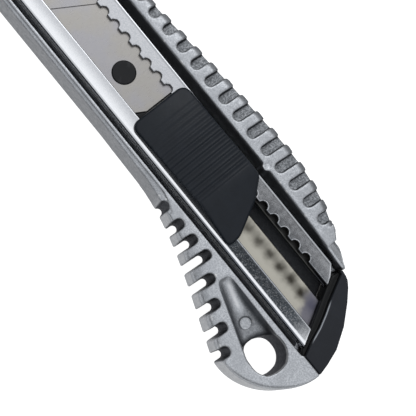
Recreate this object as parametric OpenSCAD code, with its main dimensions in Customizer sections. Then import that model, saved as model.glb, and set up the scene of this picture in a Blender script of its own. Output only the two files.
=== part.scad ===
// Snap-off knife with a cast handle, a folded steel guide channel and a sliding blade carrier.
// The knife lies on its flat back: +Z up, +X towards the blade tip, +Y towards the cutting edge.
// The origin is on the back, under the channel's centre line, tail_to_origin ahead of the rear end.

/* [Handle casting] */
// Distance from the rearmost point of the handle to the origin
tail_to_origin = 70; // [60:1:80]
// Length of the casting
body_length = 148; // [144:1:152]
// Thickness of the casting, back to rims
body_thickness = 12; // [11.5:0.1:13]
// Half the width of the trough that takes the channel
trough_half = 12.15; // [11.9:0.05:12.4]
// Thickness of the casting's back under the hollows
back_wall = 2; // [1.5:0.1:2.5]
// Side face on the cutting-edge side
flank_y = 14; // [13.9:0.05:14.1]

/* [Finger comb and thumb ribs] */
// Width of a finger slot
slot_width = 2.75; // [2.4:0.05:3]
// Angle of the finger slots and the pockets to the knife's width, degrees
slot_lean = 5.5; // [4:0.5:7]
// Slope of the teeth's tops, degrees
tooth_slope = 32; // [20:1:36]
// Distance from the tail to the rearmost thumb-side pocket
first_pocket_x = 30; // [29.8:0.1:30.2]
// Distance between thumb-side pockets
pocket_pitch = 5.8; // [5.7:0.1:6]
// Width of a pocket
pocket_width = 2.9; // [2.6:0.1:3.1]
// Number of pockets along the thumb side
pocket_count = 18; // [10:1:18]
// Depth of a pocket
pocket_depth = 2.4; // [1.5:0.1:3]
// How far a rib stands out beyond the pockets' floors
rib_proud = 0; // [0:0.1:0.4]

/* [Guide channel] */
// Width of the folded channel
channel_width = 20.3; // [20.2:0.05:20.4]
// Thickness of the sheet
sheet = 0.8; // [0.7:0.05:0.8]
// Clear height inside the channel
channel_gap = 2.3; // [2.25:0.05:2.4]
// Height of the channel's underside above the back
channel_z = 6.2; // [6:0.1:6.3]
// Inner edge of the plain lip
plain_lip_y = 5.3; // [5.2:0.1:5.6]
// Tips of the ratchet teeth on the other lip
tooth_tip_y = -5.45; // [-5.5:0.05:-5.4]
// Depth of a ratchet notch
notch_depth = 1.3; // [1.1:0.1:1.4]
// Distance between ratchet notches
notch_pitch = 4.37; // [4.3:0.01:4.4]
// Number of ratchet notches
notch_count = 26; // [24:1:27]
// Distance from the tail to the rearmost notch
first_notch_x = 24.9; // [24.8:0.1:25.1]

/* [Blade] */
// Width of the blade
blade_width = 18; // [17.9:0.1:18]
// Thickness of the blade
blade_thickness = 0.5; // [0.4:0.05:0.5]
// Distance between score lines
score_pitch = 10; // [9.5:0.5:10]
// Number of score lines
score_count = 6; // [5:1:6]
// Radius of the hole for the peg
hole_r = 3.3; // [3.2:0.05:3.4]

/* [Thumb slider] */
// Number of ribs under the thumb
rib_count = 12; // [8:1:12]
// Distance between the ribs
rib_pitch = 1.9; // [1.7:0.1:1.9]
// Height of the thumb piece at its highest point, above the lips
pad_height = 5; // [4:0.1:5.5]

/* [Hidden] */

// Play between parts that slide past each other
play = 0.1;
// The score lines and the nose lie at this angle to the axis
score_angle = 60;
// Width of the ground bevel, and of the corner that the blade's tail keeps square
bevel = 1.6;
tail_corner_y = 2.4;
arc_steps = 6;

floor_z = channel_z + sheet;
lip_under_z = floor_z + channel_gap;
lip_top_z = lip_under_z + sheet;
inner_half = channel_width / 2 - sheet;
bend_r = 0.55;
inner_bend_r = 0.2;

// The blade lies just under the lips, the carrier's plate under the blade
blade_top_z = lip_under_z - play;
blade_z = blade_top_z - blade_thickness;
carrier_z = floor_z + play;
// The channel sits slightly off the blade's centre line
channel_y = -0.22;
carrier_half = inner_half - play + channel_y;

// Stations along the knife, measured from the tail
nose_x = 162;
blade_tail_x = 80.6;
peg_x = 92.1;
peg_y = 0.6;
last_score_x = 113.8;
slider_front_x = 80.1;
rib_start_x = 53;
bump_x = first_notch_x + 8 * notch_pitch;
spring_pivot = [77, -3.9];
spring_z = blade_z - 0.3;
spring_height = 2.1;
spring_half_thickness = 0.2;
spring_pivot_r = 0.7;
rivet_xs = [60, 100, 140];
rivet_y = 0.25;
rivet_r = 1;
rivet_head_r = 1.8;
rivet_head = 0.6;
rivet_z = 1;
notch_r = 1.25;
// The hook behind a notch: [set-back of its corner, turn, length, width]
notch_hook = [0.4, 25, 1.7, 1.4];
floor_slot_y = [-5.35, -1.95];
floor_slot_end_x = 66;
channel_end = [[16.9, -7.8], [15.8, -6], [7, 10.5], [5.6, 13]];

// Outline of the handle: flank, finger comb, tail, seat of the end cap, thumb side, nose
flank_start_x = 84;
comb_curve = [[70, flank_y + 0.3], [53.5, 14.35], [38, 21.8], [19.5, 28.9]];
tail_curve = [[19.5, 28.9], [9.3, 30.5], [-0.45, 21], [-0.45, 11.7]];
heel_end = [[16.4, -11.3], [17.1, -12.15], [18.2, -13.1], [19.7, -14], [21.2, -14.65], [22.4, -14.65]];
heel_curve = [[23.4, -14.75], [26.5, -17], [33.5, -20.4], [47, -20.9]];
thumb_curve = [[47, -20.9], [62, -21.3], [95, -17.6], [132, -15]];
nose_flank = [[body_length, 9], [body_length, 12], [144, flank_y], [136, flank_y]];
nose_thumb = [[136, -14.8], [144, -14.2], [body_length, -12.4], [body_length, -9]];
cap_seat = [[6.4, 11.7], [7.2, 10.8], [16, -5.9], [16.8, -7.8]];
cap_edge = [[-0.4, 11.6], [0.3, 8.4], [1.7, 4], [4.95, -1.4], [9, -6.15], [11.9, -9], [13.5, -10.15],
            [14.6, -10.5], [16.2, -10.7]];
cap_front = [[16.55, -8.1], [16.45, -7.75], [15.65, -6], [6.85, 10.65], [6.2, 11.6]];
// Shelf of the cap behind the channel's slanted end, and its prongs, which slide in under the two lips
cap_shelf = [[15.8, -9.95], [20, -9.95], [7.4, 14], [5, 11], [13.9, -6]];
cap_shelf_drop = 0.6;
flank_prong = [[7, 7.6], [7, carrier_half], [20, carrier_half], [20, plain_lip_y + 0.3],
               [9, plain_lip_y + 0.3]];
thumb_prong = [[15, -carrier_half], [15, -6.5], [21, -6.5], [22, -7.5], [22, -carrier_half]];

// Inner faces of the trough: the thumb side narrows towards the end cap
trough_front_x = body_length - 7;
trough_thumb_y = -12.2;
trough_outline = [[6.4, trough_half], [trough_front_x, trough_half], [trough_front_x, trough_thumb_y],
                  [45, trough_thumb_y], [36, -12], [27, -11.6], [19, -10.95], [15.5, -10.75], [6.4, -10.75]];
// Rear and front ends of the deep grooves beside the channel
groove_xs = [9, body_length - 9];
// Hollows under the channel, with seat ribs between them: [start, low y, high y]
seat_hollows = [[5, -7.4, -2.2], [22, 2.8, 7.4]];

// Finger slots: where each one ends on the handle's side, [distance from the tail, y]
finger_slots = [[58.3, 14], [52.35, 13.8], [47.15, 13.7], [41.85, 13.5], [36.55, 16.6], [30.8, 19.7],
                [24.95, 22.2], [19.75, 25.6]];

lanyard_hole = [[15.6, 13.8, 2.4], [17.75, 18.2, 2.8], [17.85, 22.9, 2.2], [9.8, 24.6, 3.4], [6.5, 19.6, 3],
                [8.9, 13.8, 3]];
lanyard_recess = [[35, 13.4, 1.2], [35.4, 16.9, 0.9], [14.5, 24.6, 4], [9.4, 25.3, 3.6], [5.9, 19.6, 3.2],
                  [8.5, 13.4, 3.2]];
recess_z = 8.2;

// The teeth's tops slope from a line that bends at this point
comb_bend = [42, 15.4];
front_teeth_turn = -1.6;
rear_teeth_turn = -26.2;
// How far the teeth's slope is cut ahead of that point, and behind it
slope_reach = [30, 45];

// Inner ends of the thumb-side pockets, and how far their ribs stay below the rims
pocket_y = -13.95;
rib_drop = 0.6;
// How far a rib's outer end lies behind its root, because of the lean
rib_lag = 0.7;

slider_outline = [[slider_front_x, 8.8, 2.6], [39.6, 8.8, 1.6], [39.9, 4.6, 6], [44.6, -4.6, 12],
                  [49, -9.55, 3], [slider_front_x, -9.55, 2.6]];
skirt_height = 1.7;
// The pad above the skirt is a little smaller than the skirt: [centre x, scale along, scale across]
pad_inset = [60, 0.97, 0.93];
cavity_height = 1.2;
// Profile of the pad along the knife, [distance from the tail, height above the lips]
pad_fall = 5.4;
pad_profile = [[40, 0], [slider_front_x, 0], [slider_front_x - 1, 2.2], [74, 3],
               [rib_start_x + 1, pad_height], [rib_start_x - 2, pad_height], [41, 1.8]];
rib_groove = [0.9, 0.35];
slider_cavity = [[47, 5.2], [79, 5.2], [79, -7.2], [54.5, -7.2], [51.5, -3], [47, -3]];

// Carrier: its plate, the thicker part behind the blade, and the neck between the lips
carrier_tail = [[48, -carrier_half], [45, -4], [42.5, 3], [42.5, carrier_half - 1], [43.5, carrier_half]];
plate_front_x = 97;
plate_chamfer = 1;
// Gaps: behind the blade, under it, around the peg and below the spring
blade_gap = 0.15;
plate_gap = 0.05;
spring_pocket_depth = 0.4;
neck = [[47.2, plain_lip_y - 0.2], [78.8, plain_lip_y - 0.2], [78.8, tooth_tip_y + 0.3],
        [75.2, tooth_tip_y + 0.3], [74, -1.9], [47.2, -1.9]];
spring_pocket = [[76.8, -4.55], [73.8, -4.9], [54, -7.7], [54, -1.9], [74.2, -1.9], [76.8, -3.3]];

function unit(v) = v / norm(v);
function bezier(p, t) =
    pow(1 - t, 3) * p[0] + 3 * t * pow(1 - t, 2) * p[1] + 3 * t * t * (1 - t) * p[2] + pow(t, 3) * p[3];
function curve(p, steps = 10) = [for (i = [0:steps]) bezier(p, i / steps)];
// The y of a curve at a distance x from the tail
function curve_y(p, x) = lookup(x, [for (q = curve(p)) [q[0], q[1]]]);
// The arc that rounds one corner [x, y, radius] of an outline
function corner_arc(before, at, after) = let(
        p = [at[0], at[1]], in = unit([before[0], before[1]] - p), out = unit([after[0], after[1]] - p),
        half = acos(in * out) / 2, centre = p + unit(in + out) * at[2] / sin(half),
        from = p + in * at[2] / tan(half) - centre,
        turn = sign(in[1] * out[0] - in[0] * out[1]) * (180 - 2 * half), start = atan2(from[1], from[0]))
    [for (i = [0:arc_steps]) let(a = start + turn * i / arc_steps) centre + at[2] * [cos(a), sin(a)]];
function rounded(corners) = let(n = len(corners))
    [for (i = [0:n - 1]) each corner_arc(corners[(i + n - 1) % n], corners[i], corners[(i + 1) % n])];

module from_tail() {
    translate([-tail_to_origin, 0, 0]) children();
}

// A solid with a flat outline between two heights
module slab(points, low, high) {
    translate([0, 0, low]) linear_extrude(high - low) polygon(points);
}

// A profile drawn across the knife, carried along it from one station to another
module along(from_x, to_x) {
    translate([from_x, 0, 0]) rotate([90, 0, 90]) linear_extrude(to_x - from_x) children();
}

module rounded_box_2d(width, height, r) {
    translate([-width / 2 + r, 0]) square([width - 2 * r, height]);
    translate([-width / 2, r]) square([width, height - 2 * r]);
    for (x = [-width / 2 + r, width / 2 - r], y = [r, height - r]) translate([x, y]) circle(r, $fn = 32);
}

// A slot with a round inner end, open towards positive y
module blind_slot_2d(width, length) {
    translate([0, width / 2]) circle(d = width, $fn = 32);
    translate([-width / 2, width / 2]) square([width, length]);
}

module handle_outline() {
    polygon(concat(
        curve(nose_flank, 5), [[flank_start_x, flank_y]], curve(comb_curve), curve(tail_curve), cap_seat,
        heel_end, curve(heel_curve, 6), curve(thumb_curve), curve(nose_thumb, 5)));
}

module thumb_rib(x) {
    reach = (x < 47 ? curve_y(heel_curve, x) : curve_y(thumb_curve, x)) - rib_proud;
    width = pocket_pitch - pocket_width;
    translate([x, reach + width / 2, 0]) rotate([0, 0, -slot_lean]) {
        cylinder(d = width, h = body_thickness - rib_drop, $fn = 32);
        translate([-width / 2, 0, 0]) cube([width, 2, body_thickness - rib_drop]);
    }
}

module finger_comb() {
    for (s = finger_slots)
        translate([s[0], s[1], -1]) rotate([0, 0, -slot_lean])
            linear_extrude(body_thickness + 2) blind_slot_2d(slot_width, 20);
    // Slope of the teeth, down towards their tips
    translate([comb_bend[0], comb_bend[1], body_thickness]) {
        rotate([0, 0, front_teeth_turn]) rotate([-tooth_slope, 0, 0])
            cube([slope_reach[0], 20, body_thickness]);
        rotate([0, 0, rear_teeth_turn]) rotate([-tooth_slope, 0, 0])
            translate([-slope_reach[1], 0, 0]) cube([slope_reach[1], 25, body_thickness + 2]);
    }
}

module trough() {
    // Seat of the channel, open at both ends
    along(-1, body_length + 1) translate([channel_y - channel_width / 2, channel_z])
        square([channel_width, body_thickness]);
    slab(trough_outline, channel_z, body_thickness + 1);
    // Deep grooves beside the channel
    for (side = [-1, 1]) intersection() {
        slab(trough_outline, back_wall, body_thickness);
        translate([groove_xs[0], channel_y + side * (channel_width / 2 + 10) - 10, 0])
            cube([groove_xs[1] - groove_xs[0], 20, body_thickness]);
    }
    for (h = seat_hollows) along(h[0], groove_xs[1]) translate([h[1], back_wall])
        square([h[2] - h[1], body_thickness]);
}

module body_casting() {
    color([0.67, 0.68, 0.7]) from_tail() difference() {
        union() {
            linear_extrude(body_thickness) handle_outline();
            for (i = [-1:pocket_count - 1]) thumb_rib(first_pocket_x + pocket_pitch * (i + 0.5) - rib_lag);
        }
        trough();
        finger_comb();
        for (i = [0:pocket_count - 1])
            translate([first_pocket_x + pocket_pitch * i, pocket_y, body_thickness - pocket_depth])
                rotate([0, 0, 180 - slot_lean])
                    linear_extrude(body_thickness) blind_slot_2d(pocket_width, 12);
        slab(rounded(lanyard_hole), -1, body_thickness + 1);
        slab(rounded(lanyard_recess), recess_z, body_thickness + 1);
        for (x = rivet_xs) translate([x, rivet_y, rivet_z]) cylinder(r = rivet_r, h = channel_z, $fn = 32);
    }
}

module guide_channel() {
    color([0.78, 0.79, 0.8]) from_tail() difference() {
        along(0, 180) difference() {
            translate([channel_y, channel_z]) rounded_box_2d(channel_width, lip_top_z - channel_z, bend_r);
            translate([channel_y, floor_z]) rounded_box_2d(2 * inner_half, channel_gap, inner_bend_r);
            translate([tooth_tip_y, lip_under_z - play]) square([plain_lip_y - tooth_tip_y, 4]);
        }
        // Slanted rear end and slanted nose
        slab(concat([[-1, -20], [19.8, -20], [19.8, -10.7]], channel_end, [[-1, 13]]), 0, 20);
        translate([nose_x, 0, 0]) rotate([0, 0, score_angle - 90]) translate([0, -40, 0]) cube([60, 80, 20]);
        for (i = [0:notch_count - 1])
            translate([first_notch_x + notch_pitch * i, tooth_tip_y, lip_under_z - 1]) {
                translate([0, notch_r - notch_depth, 0]) cylinder(r = notch_r, h = 3, $fn = 32);
                translate([0, -notch_hook[0], 0]) rotate([0, 0, notch_hook[1]])
                    cube([notch_hook[2], notch_hook[3], 3]);
            }
        // Lengthwise slot in the floor, open at the rear
        translate([0, floor_slot_y[0], channel_z - 1])
            cube([floor_slot_end_x, floor_slot_y[1] - floor_slot_y[0], 3]);
        for (x = rivet_xs) translate([x, rivet_y, 0]) {
            cylinder(r = rivet_r, h = floor_z + 1, $fn = 32);
            translate([0, 0, floor_z - rivet_head]) cylinder(r = rivet_head_r, h = 2, $fn = 32);
        }
    }
}

module channel_rivets() {
    color([0.6, 0.6, 0.62]) from_tail() for (x = rivet_xs) translate([x, rivet_y, 0]) {
        translate([0, 0, rivet_z]) cylinder(r = rivet_r, h = floor_z - rivet_z, $fn = 32);
        translate([0, 0, floor_z - rivet_head]) cylinder(r = rivet_head_r, h = rivet_head, $fn = 32);
    }
}

module end_cap() {
    color([0.12, 0.12, 0.14]) from_tail() {
        difference() {
            slab(concat(cap_edge, cap_front), 0, body_thickness);
            slab(cap_shelf, lip_top_z - cap_shelf_drop, body_thickness + 1);
        }
        for (prong = [flank_prong, thumb_prong]) slab(prong, carrier_z, lip_under_z - play);
    }
}

module thumb_slider() {
    pad_outline = [for (c = slider_outline)
        [pad_inset[1] * (c[0] - pad_inset[0]) + pad_inset[0], pad_inset[2] * c[1], c[2]]];
    color([0.15, 0.15, 0.18]) from_tail() difference() {
        union() {
            slab(rounded(slider_outline), lip_top_z + play, lip_top_z + skirt_height);
            intersection() {
                slab(rounded(pad_outline), lip_top_z + 1, lip_top_z + pad_height + 1);
                translate([0, 12, lip_top_z]) rotate([90, 0, 0]) linear_extrude(24) polygon(pad_profile);
            }
        }
        // Grooves between the ribs
        for (i = [0:rib_count - 1]) let(along_pad = rib_pitch * (i + 0.5))
            translate([rib_start_x + along_pad, -10,
                       lip_top_z + pad_height - rib_groove[1] - (along_pad - rib_pitch / 2) * tan(pad_fall)])
                rotate([0, -pad_fall, 0]) cube([rib_groove[0], 20, 2]);
        // Cavity over the carrier's neck and the spring
        slab(slider_cavity, lip_top_z, lip_top_z + cavity_height);
    }
}

module blade_carrier() {
    color([0.13, 0.13, 0.15]) from_tail() difference() {
        union() {
            // Plate under the blade
            slab(concat([[plate_front_x, -carrier_half + plate_chamfer],
                         [plate_front_x - plate_chamfer, -carrier_half]], carrier_tail,
                        [[plate_front_x - plate_chamfer, carrier_half],
                         [plate_front_x, carrier_half - plate_chamfer]]),
                 carrier_z, blade_z - plate_gap);
            // Thicker part behind the blade
            slab(concat([[blade_tail_x - blade_gap, -carrier_half]], carrier_tail,
                        [[blade_tail_x + 3.2, carrier_half], [blade_tail_x - blade_gap, 2.6]]),
                 carrier_z, blade_top_z);
            // Neck between the lips, up into the thumb slider
            slab(neck, blade_z - 1, lip_top_z + cavity_height - 0.05);
            translate([peg_x, peg_y, carrier_z])
                cylinder(r = hole_r - plate_gap, h = blade_top_z + 0.3 - carrier_z, $fn = 48);
        }
        // Pocket of the spring
        translate([0, 0, blade_z - spring_pocket_depth]) {
            translate([spring_pivot[0], spring_pivot[1], 0])
                cylinder(r = spring_pivot_r + 0.08, h = 5, $fn = 32);
            linear_extrude(5) polygon(spring_pocket);
        }
    }
}

// One side of a bent strip: its centre line moved sideways, with mitred bends
function across(v) = [-v[1], v[0]];
function strip_side(points, shift) = [for (i = [0:len(points) - 1]) let(
        last = len(points) - 1,
        into = across(unit(points[max(i, 1)] - points[max(i, 1) - 1])),
        out = across(unit(points[min(i, last - 1) + 1] - points[min(i, last - 1)])),
        mitre = unit(into + out))
    points[i] + mitre * shift / (mitre * into)];
function reversed(points) = [for (i = [len(points) - 1:-1:0]) points[i]];

module lock_spring() {
    leaf = [spring_pivot, [62, -4.4], [bump_x + 0.9, -5], [bump_x + 0.3, -6.4], [bump_x - 0.3, -6.4],
            [bump_x - 0.9, -5], [57, -4.3]];
    color([0.7, 0.71, 0.73]) from_tail() {
        slab(concat(strip_side(leaf, spring_half_thickness),
                    reversed(strip_side(leaf, -spring_half_thickness))), spring_z, spring_z + spring_height);
        translate([spring_pivot[0], spring_pivot[1], spring_z])
            cylinder(r = spring_pivot_r, h = spring_height, $fn = 32);
    }
}

module blade() {
    slant = 1 / tan(score_angle);
    half = blade_width / 2;
    taper = (half - tail_corner_y) * slant;
    tip_x = last_score_x + score_pitch * score_count;
    color([0.65, 0.64, 0.62]) from_tail() difference() {
        intersection() {
            slab([[blade_tail_x, -half], [blade_tail_x, tail_corner_y], [blade_tail_x + taper, half],
                  [tip_x + half * slant, half], [tip_x - half * slant, -half]], blade_z, blade_top_z);
            // Section with the bevel of the cutting edge
            along(blade_tail_x - 1, tip_x + 20)
                polygon([[-half, blade_z], [half - bevel, blade_z], [half, blade_z + blade_thickness / 2],
                         [half - bevel, blade_top_z], [-half, blade_top_z]]);
        }
        translate([peg_x, peg_y, 0]) cylinder(r = hole_r, h = 20, $fn = 48);
        for (i = [0:score_count - 1])
            translate([last_score_x + score_pitch * i, 0, blade_top_z]) rotate([0, 0, score_angle])
                rotate([45, 0, 0]) cube([40, 0.2, 0.2], center = true);
    }
}

body_casting();
guide_channel();
channel_rivets();
end_cap();
thumb_slider();
blade_carrier();
lock_spring();
blade();
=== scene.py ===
"""Snap-off knife: camera, lights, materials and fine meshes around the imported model."""
import math
import bpy
import numpy as np
from mathutils import Matrix, Vector


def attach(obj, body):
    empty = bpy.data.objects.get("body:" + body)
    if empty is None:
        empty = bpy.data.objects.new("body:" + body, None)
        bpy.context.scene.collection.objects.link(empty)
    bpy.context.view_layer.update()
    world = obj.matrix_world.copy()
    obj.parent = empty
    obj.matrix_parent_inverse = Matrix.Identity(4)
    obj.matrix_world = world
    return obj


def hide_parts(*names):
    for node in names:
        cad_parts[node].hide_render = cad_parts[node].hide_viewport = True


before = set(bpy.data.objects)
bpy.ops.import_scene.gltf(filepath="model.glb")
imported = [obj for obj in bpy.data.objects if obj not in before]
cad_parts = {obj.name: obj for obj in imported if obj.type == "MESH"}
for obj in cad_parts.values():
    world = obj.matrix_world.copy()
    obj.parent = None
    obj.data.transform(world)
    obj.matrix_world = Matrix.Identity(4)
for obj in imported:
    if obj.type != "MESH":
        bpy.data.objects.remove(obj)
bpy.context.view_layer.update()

MM = 0.001

# ---- Shape constants: millimetres, x from the rearmost point of the handle, as in the CAD model
TAIL = 70.0
BODY_LENGTH = 148.0
BODY_TOP = 12.0
CHANNEL_Z = 6.2
SHEET = 0.8
FLOOR_Z = CHANNEL_Z + SHEET
LIP_UNDER_Z = FLOOR_Z + 2.3
LIPS_Z = LIP_UNDER_Z + SHEET
CHANNEL_HALF, CHANNEL_Y = 10.15, -0.22
PLAIN_LIP_Y, TOOTH_TIP_Y = 5.3, -5.45
NOTCH_PITCH, FIRST_NOTCH_X, NOTCH_COUNT = 4.37, 24.9, 26
BACK_WALL = 2.0
SLOT_LEAN = math.radians(5.5)
RIVET_XS, RIVET_Y = (60, 100, 140), 0.25
PEG = (92.1, 0.6)
# Phase of the painted reflections of the teeth on the channel's floor
FIRST_TOOTH_REFLECTION_X = 31.6
# Rounding of the edges at the flat back
BACK_ROUND = 0.12


# ---- Shapes as distances on a grid, negative inside

EMPTY = 9.0


def ease(value, start, width):
    """0 before the start, 1 once past the width, straight between; a negative width runs backwards"""
    return np.clip((value - start) / width, 0, 1)


def both(a, b, r=0.0):
    """Intersection, with the edge between the two surfaces rounded"""
    if r == 0:
        return np.maximum(a, b)
    return np.minimum(np.maximum(a, b), -r) + np.hypot(np.maximum(a + r, 0), np.maximum(b + r, 0))


def either(a, b, r=0.0):
    """Union, with a fillet in the corner between the two surfaces"""
    return -both(-a, -b, r)


def bezier(p, steps=10):
    t = np.linspace(0, 1, steps + 1)[:, None]
    p = np.asarray(p, float)
    return (1 - t) ** 3 * p[0] + 3 * t * (1 - t) ** 2 * p[1] + 3 * t ** 2 * (1 - t) * p[2] + t ** 3 * p[3]


def rounded(corners, steps=8):
    """An outline whose corners [x, y, radius] are arcs"""
    points = []
    for i, (x, y, r) in enumerate(corners):
        p = np.array([x, y], float)
        a = np.array(corners[i - 1][:2], float) - p
        b = np.array(corners[(i + 1) % len(corners)][:2], float) - p
        a, b = a / np.linalg.norm(a), b / np.linalg.norm(b)
        half = math.acos(np.clip(a @ b, -1, 1)) / 2
        centre = p + (a + b) / np.linalg.norm(a + b) * r / math.sin(half)
        first = p + a * r / math.tan(half) - centre
        turn = math.copysign(math.pi - 2 * half, a[1] * b[0] - a[0] * b[1])
        start = math.atan2(first[1], first[0])
        for s in range(steps + 1):
            angle = start + turn * s / steps
            points.append(centre + r * np.array([math.cos(angle), math.sin(angle)]))
    return np.array(points)


def outline_field(points, x, y):
    """Distance to a closed outline, negative inside"""
    points = np.asarray(points, float)
    shape = np.broadcast(x, y).shape
    nearest = np.full(shape, 1e9, np.float32)
    inside = np.zeros(shape, bool)
    for a, b in zip(points, np.roll(points, -1, 0)):
        e = b - a
        length = e @ e
        if length < 1e-12:
            continue
        t = np.clip(((x - a[0]) * e[0] + (y - a[1]) * e[1]) / length, 0, 1)
        nearest = np.minimum(nearest, (x - a[0] - e[0] * t) ** 2 + (y - a[1] - e[1] * t) ** 2)
        if e[1] != 0:
            inside ^= ((a[1] <= y) != (b[1] <= y)) & (x < a[0] + e[0] * (y - a[1]) / e[1])
    nearest = np.sqrt(nearest)
    return np.where(inside, -nearest, nearest)


def prism(points, low, high, r=0.0, taper=0.0, r_low=None):
    """A solid with a flat outline; taper draws its sides in with height"""
    def field(x, y, z):
        side = outline_field(points, x, y) + taper * (z - low)
        return both(both(side, z - high, r), low - z, r if r_low is None else r_low)
    return field


def block(low, high, r=0.0):
    centre = [(a + b) / 2 for a, b in zip(low, high)]
    half = [(b - a) / 2 for a, b in zip(low, high)]

    def field(x, y, z):
        side = both(np.abs(x - centre[0]) - half[0], np.abs(y - centre[1]) - half[1], r)
        return both(side, np.abs(z - centre[2]) - half[2], r)
    return field


def post(at, radius, low, high, r=0.0):
    def field(x, y, z):
        return both(np.hypot(x - at[0], y - at[1]) - radius, np.maximum(low - z, z - high), r)
    return field


def blind_slot(at, width, lean, low, outwards, r=0.0, high=30.0, draft=0.0):
    """A slot with a round inner end at a point, open outwards (+1 or -1 in y); draft narrows it below"""
    def field(x, y, z):
        along = outwards * ((y - at[1]) * math.cos(lean) + (x - at[0]) * math.sin(lean))
        across = (x - at[0]) * math.cos(lean) - (y - at[1]) * math.sin(lean)
        plan = np.hypot(np.minimum(along - width / 2, 0), across) - width / 2 + draft * (BODY_TOP - z)
        return both(plan, np.maximum(low - z, z - high), r)
    return field


class Solid:
    """A shape built up on a grid"""

    def __init__(self, low, high, step):
        self.step = step * 1
        self.axes = [np.arange(a, b + self.step, self.step, dtype=np.float32) for a, b in zip(low, high)]
        self.field = np.full([len(axis) for axis in self.axes], EMPTY, np.float32)

    def _window(self, low, high):
        window = []
        for axis, a, b in zip(self.axes, low, high):
            window.append(slice(*np.searchsorted(axis, (a, b))))
        x, y, z = (axis[part] for axis, part in zip(self.axes, window))
        return tuple(window), x[:, None, None], y[None, :, None], z[None, None, :]

    def _change(self, combine, tool, low, high):
        low = low or [axis[0] for axis in self.axes]
        high = high or [axis[-1] + 1 for axis in self.axes]
        window, x, y, z = self._window(low, high)
        self.field[window] = combine(self.field[window], tool(x, y, z))

    def add(self, tool, r=0.0, low=None, high=None):
        self._change(lambda a, b: either(a, b, r), tool, low, high)

    def cut(self, tool, r=0.0, low=None, high=None):
        self._change(lambda a, b: both(a, -b, r), tool, low, high)

    def keep(self, tool, r=0.0, low=None, high=None):
        self._change(lambda a, b: both(a, b, r), tool, low, high)

    def net(self):
        """Vertices in millimetres and the quads of the surface where the field is zero"""
        d = self.field
        cells = np.array(d.shape) - 1
        count = np.zeros(cells.prod())
        total = np.zeros((3, cells.prod()))
        quads = []
        for axis in range(3):
            b, c = (axis + 1) % 3, (axis + 2) % 3
            near, far = [slice(None)] * 3, [slice(None)] * 3
            near[axis], far[axis] = slice(0, -1), slice(1, None)
            near, far = d[tuple(near)], d[tuple(far)]
            edge = np.nonzero((near < 0) != (far < 0))
            at = np.array(edge)
            keep = (at[b] > 0) & (at[c] > 0) & (at[b] < cells[b]) & (at[c] < cells[c])
            at = at[:, keep]
            first, second = near[tuple(at)], far[tuple(at)]
            place = at.astype(float)
            place[axis] += first / (first - second)
            ring = []
            for step_b, step_c in ((-1, -1), (0, -1), (0, 0), (-1, 0)):
                cell = at.copy()
                cell[b] += step_b
                cell[c] += step_c
                number = np.ravel_multi_index(cell, cells)
                ring.append(number)
                count += np.bincount(number, minlength=len(count))
                for i in range(3):
                    total[i] += np.bincount(number, place[i], minlength=len(count))
            ring = np.array(ring)
            ring[:, first > 0] = ring[::-1, first > 0]
            quads.append(ring.T)
        used = count > 0
        index = np.cumsum(used) - 1
        vertices = (total[:, used] / count[used]).T * self.step + [axis[0] for axis in self.axes]
        return vertices, index[np.concatenate(quads)]


def make_piece(name, solid, body, node, material, shade=None):
    """A mesh of the solid, in the row frame, that stands for a CAD node; shade gives each point's painted
    shade, or below 0 its painted highlight
    """
    vertices, quads = solid.net()
    painted_light = None if shade is None else shade(*vertices.T.astype(np.float32))
    vertices = (vertices - [TAIL, 0, 0]) * MM
    mesh = bpy.data.meshes.new(name)
    mesh.vertices.add(len(vertices))
    mesh.vertices.foreach_set("co", vertices.ravel())
    mesh.loops.add(quads.size)
    mesh.loops.foreach_set("vertex_index", quads.ravel().astype(np.int32))
    mesh.polygons.add(len(quads))
    mesh.polygons.foreach_set("loop_start", np.arange(0, quads.size, 4, dtype=np.int32))
    mesh.update(calc_edges=True)
    mesh.validate()
    mesh.shade_smooth()
    if painted_light is not None:
        mesh.attributes.new("painted_light", "FLOAT", "POINT").data.foreach_set("value", painted_light.astype(np.float32))
    piece = bpy.data.objects.new(name, mesh)
    bpy.context.scene.collection.objects.link(piece)
    mesh.materials.append(material)
    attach(piece, body)
    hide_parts(node)


# ---- The handle casting

NOSE_CURVE = [[BODY_LENGTH, 9], [BODY_LENGTH, 12], [144, 14], [136, 14]]
RIM_FRONT = [[84, 14]]
COMB_CURVE = [[70, 14.3], [53.5, 14.35], [38, 21.8], [19.5, 28.9]]
TAIL_CURVE = [[19.5, 28.9], [9.3, 30.5], [-0.45, 21], [-0.45, 11.7]]
HEEL_END = [[16.4, -11.3], [17.1, -12.15], [18.2, -13.1], [19.7, -14.0], [21.2, -14.65], [22.4, -14.65]]
HEEL_CURVE = [[23.4, -14.75], [26.5, -17.0], [33.5, -20.4], [47, -20.9]]
THUMB_CURVE = [[47, -20.9], [62, -21.3], [95, -17.6], [132, -15]]
THUMB_NOSE_CURVE = [[136, -14.8], [144, -14.2], [BODY_LENGTH, -12.4], [BODY_LENGTH, -9]]
THUMB_SIDE_END = [[BODY_LENGTH, -14.6]]
EDGE_ROUND, TAIL_EXTRA_ROUND = 0.35, 1.05
CAP_SEAT = [[6.4, 11.7], [7.2, 10.8], [16, -5.9], [16.8, -7.8]]
RIM_TIP = [[18, -12.6], [16.7, -12.3], [16.1, -11.7], [15.95, -11.15], [16.5, -11.0], [18, -11.2]]
RIM_TIP_Z = (3, 11.4)
SHOULDER_Y, SHOULDER_DROP = 12.98, 0.45
TROUGH = [[6.4, 12.15], [141, 12.15], [141, -12.2], [45, -12.2], [36, -12], [27, -11.6], [19, -10.95],
          [15.5, -10.75], [6.4, -10.75]]
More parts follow.
